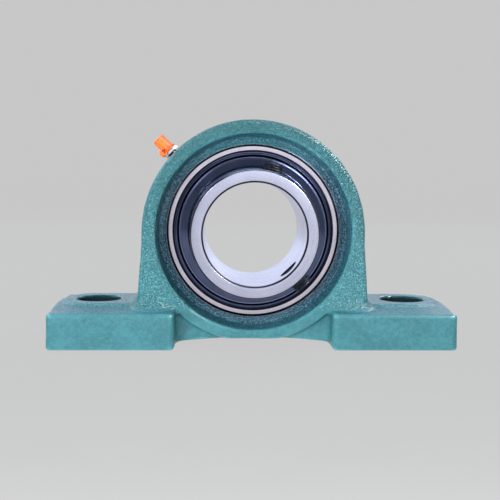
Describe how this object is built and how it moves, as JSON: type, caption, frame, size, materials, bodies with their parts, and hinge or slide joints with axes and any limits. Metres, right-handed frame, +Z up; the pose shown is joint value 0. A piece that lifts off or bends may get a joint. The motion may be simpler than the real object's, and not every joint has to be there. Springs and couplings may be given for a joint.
{
  "type": "pillow block ball bearing unit",
  "caption": "Cast pillow block housing with a self-aligning insert ball bearing, set-screw shaft locking, lip seals, and a grease nipple under a dust cap.",
  "frame": {"origin": "on the mounting surface, midway between the two bolt slots, directly below the shaft centre", "axes": "+Z up from the mounting surface, X along the base through both bolt slots, the shaft along Y with the long end of the inner ring towards -Y (front)"},
  "size_m": [0.203, 0.0626, 0.114],
  "materials": {
    "painted_casting": "teal-green enamel with a fine hammered grain over sand-cast grey iron",
    "bearing_steel": "fine-ground hardened bearing steel",
    "ball_steel": "mirror-lapped bearing steel",
    "cage_steel": "pressed low-carbon steel strip",
    "rivet_steel": "upset soft steel",
    "coated_steel": "smooth blue-black coating on pressed steel",
    "seal_rubber": "moulded nitrile rubber",
    "black_oxide_steel": "black oxide, lightly oiled",
    "zinc_plated_steel": "bright zinc plate",
    "spring_steel": "drawn spring wire",
    "orange_plastic": "soft moulded orange polyethylene"
  },
  "bodies": {
    "housing": {"housing": "painted_casting", "nipple_body": "zinc_plated_steel", "nipple_spring": "spring_steel", "cap_strap": "orange_plastic"},
    "stop_pin": {"stop_pin": "bearing_steel"},
    "outer_ring": {"outer_ring": "bearing_steel", "seal_core_front": "coated_steel", "seal_core_rear": "coated_steel", "seal_lip_front": "seal_rubber", "seal_lip_rear": "seal_rubber"},
    "inner_ring": {"inner_ring": "bearing_steel", "flinger_front": "coated_steel", "flinger_rear": "coated_steel"},
    "cage": {"cage_front_half": "cage_steel", "cage_rear_half": "cage_steel", "cage_rivets": "rivet_steel"},
    "ball_01": {"ball_01": "ball_steel"},
    "ball_02": {"ball_02": "ball_steel"},
    "ball_03": {"ball_03": "ball_steel"},
    "ball_04": {"ball_04": "ball_steel"},
    "ball_05": {"ball_05": "ball_steel"},
    "ball_06": {"ball_06": "ball_steel"},
    "ball_07": {"ball_07": "ball_steel"},
    "ball_08": {"ball_08": "ball_steel"},
    "ball_09": {"ball_09": "ball_steel"},
    "ball_10": {"ball_10": "ball_steel"},
    "set_screw_upper": {"set_screw_upper": "black_oxide_steel"},
    "set_screw_lower": {"set_screw_lower": "black_oxide_steel"},
    "dust_cap": {"nipple_cap": "orange_plastic"},
    "valve_ball": {"nipple_valve_ball": "ball_steel"}
  },
  "joints": [
    {"name": "align_swivel", "type": "hinge", "parent": "housing", "child": "stop_pin", "pos_m": [0, 0, 0.0572], "axis": [0, 0, 1], "range_deg": [-3, 3]},
    {"name": "align_tilt", "type": "hinge", "parent": "stop_pin", "child": "outer_ring", "pos_m": [0, 0, 0.0572], "axis": [1, 0, 0], "range_deg": [-3, 3]},
    {"name": "shaft_spin", "type": "hinge", "parent": "outer_ring", "child": "inner_ring", "pos_m": [0, 0, 0.0572], "axis": [0, -1, 0], "continuous": true},
    {"name": "cage_orbit", "type": "hinge", "parent": "outer_ring", "child": "cage", "pos_m": [0, 0, 0.0572], "axis": [0, -1, 0], "continuous": true},
    {"name": "ball_01_spin", "type": "hinge", "parent": "cage", "child": "ball_01", "pos_m": [0.03329, 0, 0.06802], "axis": [0, -1, 0], "continuous": true},
    {"name": "ball_02_spin", "type": "hinge", "parent": "cage", "child": "ball_02", "pos_m": [0.02057, 0, 0.08552], "axis": [0, -1, 0], "continuous": true},
    {"name": "ball_03_spin", "type": "hinge", "parent": "cage", "child": "ball_03", "pos_m": [0, 0, 0.0922], "axis": [0, -1, 0], "continuous": true},
    {"name": "ball_04_spin", "type": "hinge", "parent": "cage", "child": "ball_04", "pos_m": [-0.02057, 0, 0.08552], "axis": [0, -1, 0], "continuous": true},
    {"name": "ball_05_spin", "type": "hinge", "parent": "cage", "child": "ball_05", "pos_m": [-0.03329, 0, 0.06802], "axis": [0, -1, 0], "continuous": true},
    {"name": "ball_06_spin", "type": "hinge", "parent": "cage", "child": "ball_06", "pos_m": [-0.03329, 0, 0.04638], "axis": [0, -1, 0], "continuous": true},
    {"name": "ball_07_spin", "type": "hinge", "parent": "cage", "child": "ball_07", "pos_m": [-0.02057, 0, 0.02888], "axis": [0, -1, 0], "continuous": true},
    {"name": "ball_08_spin", "type": "hinge", "parent": "cage", "child": "ball_08", "pos_m": [0, 0, 0.0222], "axis": [0, -1, 0], "continuous": true},
    {"name": "ball_09_spin", "type": "hinge", "parent": "cage", "child": "ball_09", "pos_m": [0.02057, 0, 0.02888], "axis": [0, -1, 0], "continuous": true},
    {"name": "ball_10_spin", "type": "hinge", "parent": "cage", "child": "ball_10", "pos_m": [0.03329, 0, 0.04638], "axis": [0, -1, 0], "continuous": true},
    {"name": "set_screw_upper_travel", "type": "slide", "parent": "inner_ring", "child": "set_screw_upper", "axis": [-0.2756, 0, -0.9613], "range_m": [-0.002, 0.004]},
    {"name": "set_screw_lower_travel", "type": "slide", "parent": "inner_ring", "child": "set_screw_lower", "axis": [-0.6947, 0, 0.7193], "range_m": [-0.002, 0.004]},
    {"name": "dust_cap_pull", "type": "slide", "parent": "housing", "child": "dust_cap", "axis": [-0.7266, 0, 0.6871], "range_m": [0, 0.008], "deforming": ["cap_strap"]},
    {"name": "valve_press", "type": "slide", "parent": "housing", "child": "valve_ball", "axis": [0.7266, 0, -0.6871], "range_m": [0, 0.0008], "stiffness_N_per_m": 400, "springref_m": -0.001, "deforming": ["nipple_spring"]}
  ],
  "couplings": [
    {"joint": "cage_orbit", "follows": "shaft_spin", "ratio": 0.40929},
    {"joint": "ball_01_spin", "follows": "shaft_spin", "ratio": -2.6652},
    {"joint": "ball_02_spin", "follows": "shaft_spin", "ratio": -2.6652},
    {"joint": "ball_03_spin", "follows": "shaft_spin", "ratio": -2.6652},
    {"joint": "ball_04_spin", "follows": "shaft_spin", "ratio": -2.6652},
    {"joint": "ball_05_spin", "follows": "shaft_spin", "ratio": -2.6652},
    {"joint": "ball_06_spin", "follows": "shaft_spin", "ratio": -2.6652},
    {"joint": "ball_07_spin", "follows": "shaft_spin", "ratio": -2.6652},
    {"joint": "ball_08_spin", "follows": "shaft_spin", "ratio": -2.6652},
    {"joint": "ball_09_spin", "follows": "shaft_spin", "ratio": -2.6652},
    {"joint": "ball_10_spin", "follows": "shaft_spin", "ratio": -2.6652}
  ]
}
